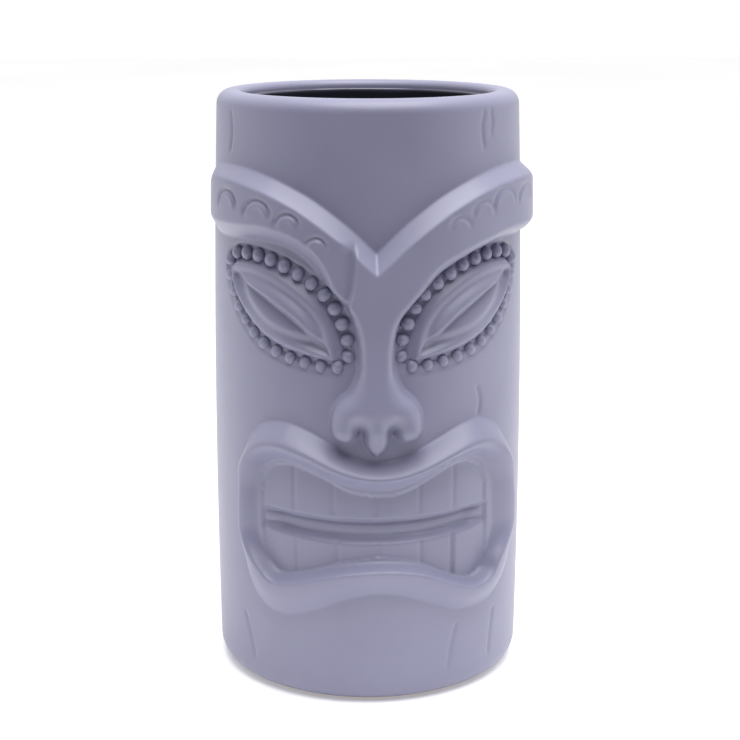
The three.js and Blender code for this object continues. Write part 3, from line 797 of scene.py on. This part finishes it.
class Tree:
    """A geometry node tree, written as a chain of short calls."""

    def __init__(self, name, inputs):
        self.tree = bpy.data.node_groups.new(name, "GeometryNodeTree")
        self.sockets = {}
        for label, kind, value in inputs:
            socket = self.tree.interface.new_socket(label, in_out="INPUT", socket_type=kind)
            if value is not None:
                socket.default_value = value
            self.sockets[label] = socket
        self.tree.interface.new_socket("Geometry", in_out="OUTPUT", socket_type="NodeSocketGeometry")
        self.given = self.tree.nodes.new("NodeGroupInput")
        self.result = self.tree.nodes.new("NodeGroupOutput")

    def node(self, kind, links=(), **settings):
        """Adds a node; links pair an input's name or number with a socket or a plain value."""
        made = self.tree.nodes.new(kind)
        for key, value in settings.items():
            setattr(made, key, value)
        for key, value in dict(links).items():
            if isinstance(value, bpy.types.NodeSocket):
                self.tree.links.new(value, made.inputs[key])
            else:
                made.inputs[key].default_value = value
        return made

    def finish(self, geometry, material):
        """Makes the geometry real, smooth and glazed, and hands it out."""
        realized = self.node("GeometryNodeRealizeInstances", {"Geometry": geometry})
        smooth = self.node("GeometryNodeSetShadeSmooth", {"Geometry": realized.outputs[0]})
        painted = self.node("GeometryNodeSetMaterial",
                            {"Geometry": smooth.outputs[0], "Material": material})
        self.tree.links.new(painted.outputs[0], self.result.inputs[0])

    def grow(self, name, start, values):
        """Runs the tree on a starting mesh and keeps the result as a plain mesh."""
        modifier = start.modifiers.new(self.tree.name, "NODES")
        modifier.node_group = self.tree
        for label, value in values.items():
            modifier[self.sockets[label].identifier] = value
        bpy.context.view_layer.update()
        graph = bpy.context.evaluated_depsgraph_get()
        mesh = bpy.data.meshes.new_from_object(start.evaluated_get(graph))
        start.modifiers.clear()
        bpy.data.objects.remove(start)
        mesh.name = name
        piece = bpy.data.objects.new(name, mesh)
        bpy.context.scene.collection.objects.link(piece)
        return piece


def line_object(name, places, closed):
    """A string of points joined by edges, for a node tree to start from."""
    count = len(places)
    edges = [(i, (i + 1) % count) for i in range(count if closed else count - 1)]
    mesh = bpy.data.meshes.new(name)
    mesh.from_pydata([tuple(p) for p in places], edges, [])
    start = bpy.data.objects.new(name, mesh)
    bpy.context.scene.collection.objects.link(start)
    return start


def bead_tree():
    """Beads set along a closed line: each stands square to the wall, a little longer than wide."""
    tree = Tree("bead_string", [
        ("Path", "NodeSocketGeometry", None), ("Beads", "NodeSocketInt", BEADS),
        ("Radius", "NodeSocketFloat", BEAD_RADIUS * MM), ("Variation", "NodeSocketFloat", BEAD_VARIATION),
        ("Seed", "NodeSocketInt", 3), ("Glaze", "NodeSocketMaterial", None)])
    given = tree.given.outputs
    path = tree.node("GeometryNodeMeshToCurve", {"Mesh": given["Path"]})
    spaced = tree.node("GeometryNodeResampleCurve", {"Curve": path.outputs[0], "Count": given["Beads"]})
    bead = tree.node("GeometryNodeMeshUVSphere", {"Segments": 20, "Rings": 12, "Radius": given["Radius"]})
    place = tree.node("GeometryNodeInputPosition")
    flat = tree.node("ShaderNodeVectorMath", {0: place.outputs[0], 1: (1, 1, 0)}, operation="MULTIPLY")
    along = tree.node("GeometryNodeInputTangent")
    out = tree.node("FunctionNodeAlignRotationToVector", {"Vector": flat.outputs[0]}, axis="Z")
    turn = tree.node("FunctionNodeAlignRotationToVector",
                     {"Rotation": out.outputs[0], "Vector": along.outputs[0]}, axis="X", pivot_axis="Z")
    low = tree.node("ShaderNodeMath", {0: 1.0, 1: given["Variation"]}, operation="SUBTRACT")
    high = tree.node("ShaderNodeMath", {0: 1.0, 1: given["Variation"]}, operation="ADD")
    size = tree.node("FunctionNodeRandomValue",
                     {2: low.outputs[0], 3: high.outputs[0], "Seed": given["Seed"]})
    shape = tree.node("ShaderNodeVectorMath", {0: BEAD_SHAPE}, operation="SCALE")
    tree.tree.links.new(size.outputs[1], shape.inputs["Scale"])
    set_beads = tree.node("GeometryNodeInstanceOnPoints", {
        "Points": spaced.outputs[0], "Instance": bead.outputs[0], "Rotation": turn.outputs[0],
        "Scale": shape.outputs[0]})
    tree.finish(set_beads.outputs[0], given["Glaze"])
    return tree


def bead_strings(glaze):
    """The string of beads round each eye, with the CAD piece it stands for; the low side sits deeper."""
    tree = bead_tree()
    pieces = []
    x, z = curve(BEAD_PATH, closed=True).T
    low = 1 - ramp(z, BEAD_LOW[0] + EYE_SLOPE * x, BEAD_LOW[1] + EYE_SLOPE * x)
    sink = BEAD_SINK + (BEAD_SINK_LOW - BEAD_SINK) * low
    for name, side, seed in (("left", -1, 3), ("right", 1, 8)):
        path = on_wall(x * side + EYE_SHIFT[side], z, -sink)
        start = line_object(name + "_bead_path", path, True)
        piece = tree.grow(name + "_bead_string", start, {"Seed": seed, "Glaze": glaze})
        pieces.append((piece, name + "_eye_beads"))
    return pieces


def lining_tree():
    """A section turned about the cup's axis: the section's lines are swept round a circle."""
    tree = Tree("turned_lining", [
        ("Section", "NodeSocketGeometry", None), ("Turns", "NodeSocketInt", 128),
        ("Sweep Radius", "NodeSocketFloat", SWEEP_RADIUS), ("Glaze", "NodeSocketMaterial", None)])
    given = tree.given.outputs
    section = tree.node("GeometryNodeMeshToCurve", {"Mesh": given["Section"]})
    circle = tree.node("GeometryNodeCurvePrimitiveCircle",
                       {"Resolution": given["Turns"], "Radius": given["Sweep Radius"]})
    swept = tree.node("GeometryNodeCurveToMesh",
                      {"Curve": circle.outputs[0], "Profile Curve": section.outputs[0]})
    closed = tree.node("GeometryNodeMergeByDistance", {"Geometry": swept.outputs[0], "Distance": 1e-6})
    tree.finish(closed.outputs[0], given["Glaze"])
    return tree


def lining_section(coat):
    """The inside line of the cup from the floor's middle to the lining's top, as radius and height."""
    centre = wall_radius(FLOOR + INNER_CORNER) - WALL - INNER_CORNER
    points = [(0, FLOOR + coat), (centre * 0.5, FLOOR + coat)]
    for angle in np.linspace(-90, 0, 13):
        a = math.radians(angle)
        reach = INNER_CORNER - coat
        points.append((centre + reach * math.cos(a), FLOOR + INNER_CORNER + reach * math.sin(a)))
    for z in np.linspace(LINING_START, LIP_END, 14):
        points.append((wall_radius(z) - WALL - coat, z))
    low = points[-1]
    high = (RIM_RADIUS - LIP_THICKNESS - coat, LINING_TOP)
    for share in LINING_TOP_SHARES:
        points.append((low[0] + (high[0] - low[0]) * share, low[1] + (high[1] - low[1]) * share))
    return points


def glaze_lining(glaze):
    """The glossier glaze poured inside, ending in a soft run just below the rim."""
    face = lining_section(LINING)
    face[-1] = (face[-1][0] + LINING_FEATHER, face[-1][1])
    back = lining_section(-LINING_SEAT)[::-1]
    points = [(r * MM - SWEEP_RADIUS, -z * MM, 0.0) for r, z in (face + back)[::-1]]
    tree = lining_tree()
    return tree.grow("poured_lining", line_object("lining_section", points, True),
                     {"Sweep Radius": SWEEP_RADIUS, "Glaze": glaze})


# ---- Finishes ----

def shader(name, roughness, coat, coat_roughness):
    """A new material with its surface settings on the shader's own sockets."""
    material = bpy.data.materials.new(name)
    material.use_nodes = True
    surface = material.node_tree.nodes["Principled BSDF"]
    surface.inputs["Roughness"].default_value = roughness
    surface.inputs["Coat Weight"].default_value = coat
    surface.inputs["Coat Roughness"].default_value = coat_roughness
    surface.inputs["IOR"].default_value = 1.5
    return material, material.node_tree, surface


def noise(tree, scale, detail, roughness=0.5):
    """A cloudy pattern fixed to the piece."""
    place = tree.nodes.new("ShaderNodeTexCoord")
    texture = tree.nodes.new("ShaderNodeTexNoise")
    texture.inputs["Scale"].default_value = scale
    texture.inputs["Detail"].default_value = detail
    texture.inputs["Roughness"].default_value = roughness
    tree.links.new(place.outputs["Object"], texture.inputs["Vector"])
    return texture.outputs["Fac"]


def blended(tree, factor, low_colour, high_colour, low=0.35, high=0.65):
    """A colour between two, following a pattern."""
    node = tree.nodes.new("ShaderNodeValToRGB")
    for element, position, colour in zip(node.color_ramp.elements, (low, high), (low_colour, high_colour)):
        element.position = position
        element.color = (*colour, 1)
    tree.links.new(factor, node.inputs[0])
    return node.outputs[0]


def span(tree, factor, low, high):
    """A number between two, following a pattern."""
    node = tree.nodes.new("ShaderNodeMapRange")
    node.inputs["To Min"].default_value = low
    node.inputs["To Max"].default_value = high
    tree.links.new(factor, node.inputs["Value"])
    return node.outputs[0]


def bumped(tree, surface, layers):
    """Small height patterns, each a factor, a strength and a depth in metres."""
    normal = None
    for factor, strength, depth in layers:
        bump = tree.nodes.new("ShaderNodeBump")
        bump.inputs["Strength"].default_value = strength
        bump.inputs["Distance"].default_value = depth
        tree.links.new(factor, bump.inputs["Height"])
        if normal is not None:
            tree.links.new(normal, bump.inputs["Normal"])
        normal = bump.outputs[0]
    tree.links.new(normal, surface.inputs["Normal"])


def satin_glaze():
    """The grey-lavender outside glaze: even, a little cloudy, with the wall's slight unevenness."""
    material, tree, surface = shader("satin_glaze", roughness=0.42, coat=0.12, coat_roughness=0.3)
    cloud = noise(tree, 38, 3)
    fine = noise(tree, 420, 4)
    colour = blended(tree, cloud, GLAZE_DARK, GLAZE_LIGHT)
    tree.links.new(colour, surface.inputs["Base Color"])
    tree.links.new(span(tree, fine, 0.38, 0.47), surface.inputs["Roughness"])
    bumped(tree, surface, [(noise(tree, 30, 2), 0.25, 0.0006), (noise(tree, 900, 3), 0.05, 0.0001)])
    return material


def lining_glaze():
    """The glaze poured inside: shiny, coloured nearly black up to just below the lining's top, and
    changing to the outside colour at the lip.
    """
    material, tree, surface = shader("lining_glaze", roughness=0.16, coat=0.4, coat_roughness=0.08)
    nodes = tree.nodes
    height = nodes.new("ShaderNodeSeparateXYZ")
    tree.links.new(nodes.new("ShaderNodeTexCoord").outputs["Object"], height.inputs[0])
    wander = nodes.new("ShaderNodeMath")
    wander.operation = "MULTIPLY_ADD"
    wander.inputs[1].default_value = LINING_WANDER
    tree.links.new(noise(tree, 60, 2), wander.inputs[0])
    tree.links.new(height.outputs["Z"], wander.inputs[2])
    # Nearly black below a line just under the lining's top, changing to the outside colour above it.
    toward_lip = nodes.new("ShaderNodeMapRange")
    toward_lip.inputs["From Min"].default_value = (LINING_TOP - LINING_CHANGE_BELOW) * MM
    toward_lip.inputs["From Max"].default_value = (LINING_TOP + LINING_CHANGE_ABOVE) * MM
    tree.links.new(wander.outputs[0], toward_lip.inputs["Value"])
    colour = nodes.new("ShaderNodeValToRGB")
    colour.color_ramp.elements.new(LINING_STOPS[1][0])
    for element, (position, value) in zip(colour.color_ramp.elements, LINING_STOPS):
        element.position = position
        element.color = (*value, 1)
    tree.links.new(toward_lip.outputs[0], colour.inputs[0])
    tree.links.new(colour.outputs[0], surface.inputs["Base Color"])
    tree.links.new(span(tree, noise(tree, 300, 3), 0.12, 0.22), surface.inputs["Roughness"])
    bumped(tree, surface, [(noise(tree, 45, 2), 0.2, 0.0005)])
    return material


def bare_clay():
    """The wiped foot: pinkish fired clay, dry and slightly gritty."""
    material, tree, surface = shader("bare_clay", roughness=0.85, coat=0.0, coat_roughness=0.5)
    grit = noise(tree, 1400, 4, 0.7)
    tree.links.new(blended(tree, grit, CLAY_DARK, CLAY_LIGHT), surface.inputs["Base Color"])
    tree.links.new(span(tree, grit, 0.75, 0.95), surface.inputs["Roughness"])
    bumped(tree, surface, [(grit, 0.3, 0.00015)])
    return material


def floor_paint():
    """The pale table, which glows a little so that it runs into the tent behind it."""
    material, tree, surface = shader("pale_floor", roughness=0.9, coat=0.0, coat_roughness=0.5)
    tree.links.new(blended(tree, noise(tree, 3, 2), (0.9, 0.9, 0.9), (0.93, 0.93, 0.93)),
                   surface.inputs["Base Color"])
    surface.inputs["Emission Color"].default_value = (1, 1, 1, 1)
    surface.inputs["Emission Strength"].default_value = TABLE_GLOW
    return material


# ---- Studio ----

def softbox(name, place, size, power):
    """A white rectangular light turned towards the mug."""
    light = bpy.data.lights.new(name, "AREA")
    light.shape = "RECTANGLE"
    light.size, light.size_y = size
    light.energy = power
    lamp = bpy.data.objects.new(name, light)
    bpy.context.scene.collection.objects.link(lamp)
    lamp.location = place
    lamp.rotation_euler = (Vector(TARGET) - Vector(place)).to_track_quat("-Z", "Y").to_euler()


def tent():
    """A white light tent: bright behind the mug, brighter overhead, dark on its open side in front."""
    world = bpy.data.worlds.new("tent")
    bpy.context.scene.world = world
    world.use_nodes = True
    tree = world.node_tree

    def joined(first, second, operation):
        made = tree.nodes.new("ShaderNodeMath")
        made.operation = operation
        tree.links.new(first, made.inputs[0])
        tree.links.new(second, made.inputs[1])
        return made.outputs[0]

    def between(value, start, end, low, high):
        made = tree.nodes.new("ShaderNodeMapRange")
        made.interpolation_type = "SMOOTHSTEP"
        made.inputs["From Min"].default_value = start
        made.inputs["From Max"].default_value = end
        made.inputs["To Min"].default_value = low
        made.inputs["To Max"].default_value = high
        tree.links.new(value, made.inputs["Value"])
        return made.outputs[0]

    way = tree.nodes.new("ShaderNodeSeparateXYZ")
    tree.links.new(tree.nodes.new("ShaderNodeTexCoord").outputs["Generated"], way.inputs[0])
    backwards = between(way.outputs["Y"], -0.9, 0.5, TENT_FRONT, TENT_BACK)
    overhead = between(way.outputs["Z"], 0.1, 1.0, 0.0, TENT_TOP)
    glow = joined(backwards, overhead, "ADD")
    seen = tree.nodes.new("ShaderNodeLightPath")
    strength = joined(glow, seen.outputs["Is Camera Ray"], "MAXIMUM")
    tree.nodes["Background"].inputs["Color"].default_value = (1, 1, 1, 1)
    tree.links.new(strength, tree.nodes["Background"].inputs["Strength"])


def studio():
    """The floor, the tent and the softboxes."""
    mesh = bpy.data.meshes.new("floor")
    mesh.from_pydata([(-TABLE_REACH, -TABLE_FRONT, 0), (TABLE_REACH, -TABLE_FRONT, 0),
                      (TABLE_REACH, TABLE_REACH, 0), (-TABLE_REACH, TABLE_REACH, 0)], [], [(0, 1, 2, 3)])
    floor = bpy.data.objects.new("floor", mesh)
    bpy.context.scene.collection.objects.link(floor)
    floor.data.materials.append(floor_paint())
    tent()
    softbox("right_softbox", RIGHT_PLACE, RIGHT_SIZE, RIGHT_POWER)
    softbox("top_softbox", TOP_PLACE, TOP_SIZE, TOP_POWER)
    bpy.context.scene.view_settings.view_transform = "Standard"


def camera():
    """A long lens a little above the rim, turned a few degrees round the mug."""
    lens = bpy.data.cameras.new("camera")
    lens.sensor_width = SENSOR_WIDTH
    lens.lens = FOCAL_LENGTH
    lens.shift_x = CAMERA_SHIFT
    view = bpy.data.objects.new("camera", lens)
    bpy.context.scene.collection.objects.link(view)
    view.location = (-CAMERA_AWAY * math.sin(CAMERA_TURN), -CAMERA_AWAY * math.cos(CAMERA_TURN),
                     CAMERA_HEIGHT)
    view.rotation_euler = (math.pi / 2 - CAMERA_DIP, 0.0, -CAMERA_TURN)
    bpy.context.scene.camera = view


# ---- The mug ----

relief = Relief()
GLAZE = satin_glaze()
LINING_GLAZE = lining_glaze()
CLAY = bare_clay()


def finish_piece(piece, node, material):
    """Glazes a piece where it has no finish of its own, hangs it under the root body, and hides the CAD
    piece it stands for.
    """
    if not piece.data.materials:
        piece.data.materials.append(material)
    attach(piece, "root")
    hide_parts(node)


cup = cup_piece(relief)
cup.data.materials.append(GLAZE)
cup.data.materials.append(CLAY)
heights = np.array([p.center.z for p in cup.data.polygons]) / MM
facing = np.array([p.normal.z for p in cup.data.polygons])
wiped = (heights < CLAY_BELOW) & (facing < CLAY_FACING)
cup.data.polygons.foreach_set("material_index", wiped.astype(np.int32))
finish_piece(cup, "mug_body", GLAZE)
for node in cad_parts:
    if (relief.labels == node).any():
        finish_piece(cut_piece(relief, "relief_" + node, node), node, GLAZE)
for piece, node in bead_strings(GLAZE):
    finish_piece(piece, node, GLAZE)
finish_piece(glaze_lining(LINING_GLAZE), "glaze_lining", LINING_GLAZE)

studio()
camera()
